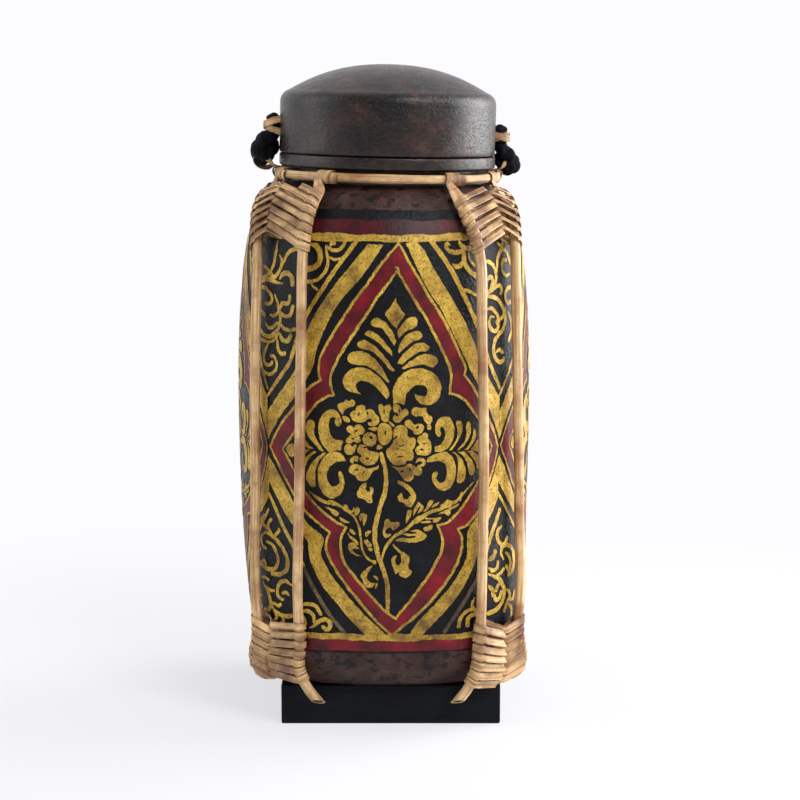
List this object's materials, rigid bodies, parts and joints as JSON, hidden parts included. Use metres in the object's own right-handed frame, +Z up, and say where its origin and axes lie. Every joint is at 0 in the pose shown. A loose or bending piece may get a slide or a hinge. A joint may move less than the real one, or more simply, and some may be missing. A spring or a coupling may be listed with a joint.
{
  "type": "lidded rice box",
  "caption": "Tall lacquered basket box with a domed lid, square plinth and a cage of rattan rods lashed at the corners and tied to a neck hoop.",
  "frame": {"origin": "middle of the plinth's underside", "axes": "+Z up the box to the lid's top, the front face looks along -Y, +X to the right of a viewer of the front"},
  "size_m": [0.132, 0.132, 0.289],
  "materials": {
    "black_plinth": "matte",
    "painted_lacquer": "satin",
    "brown_lacquer": "satin",
    "rattan_rod": "satin",
    "rattan_strip": "satin",
    "black_cord": "matte"
  },
  "bodies": {
    "box": {"plinth": "black_plinth", "basket": "painted_lacquer", "neck_collar": "brown_lacquer", "neck_hoop": "rattan_rod", "rod_front_left": "rattan_rod", "rod_front_right": "rattan_rod", "rod_right_front": "rattan_rod", "rod_right_back": "rattan_rod", "rod_back_right": "rattan_rod", "rod_back_left": "rattan_rod", "rod_left_back": "rattan_rod", "rod_left_front": "rattan_rod", "hoop_wrap_front_left": "rattan_strip", "hoop_wrap_front_right": "rattan_strip", "hoop_wrap_right_front": "rattan_strip", "hoop_wrap_right_back": "rattan_strip", "hoop_wrap_back_right": "rattan_strip", "hoop_wrap_back_left": "rattan_strip", "hoop_wrap_left_back": "rattan_strip", "hoop_wrap_left_front": "rattan_strip", "top_lashing_front_right": "rattan_strip", "top_lashing_back_right": "rattan_strip", "top_lashing_back_left": "rattan_strip", "top_lashing_front_left": "rattan_strip", "bottom_lashing_front_right": "rattan_strip", "bottom_lashing_back_right": "rattan_strip", "bottom_lashing_back_left": "rattan_strip", "bottom_lashing_front_left": "rattan_strip", "cord_loop_left": "rattan_strip", "cord_loop_right": "rattan_strip", "cord_left": "black_cord", "cord_right": "black_cord"},
    "lid": {"lid": "brown_lacquer", "eyelet_left": "rattan_strip", "eyelet_right": "rattan_strip"}
  },
  "joints": [
    {"name": "lid_lift", "type": "slide", "parent": "box", "child": "lid", "axis": [0, 0, 1], "range_m": [0, 0.045], "deforming": ["cord_left", "cord_right"]}
  ]
}
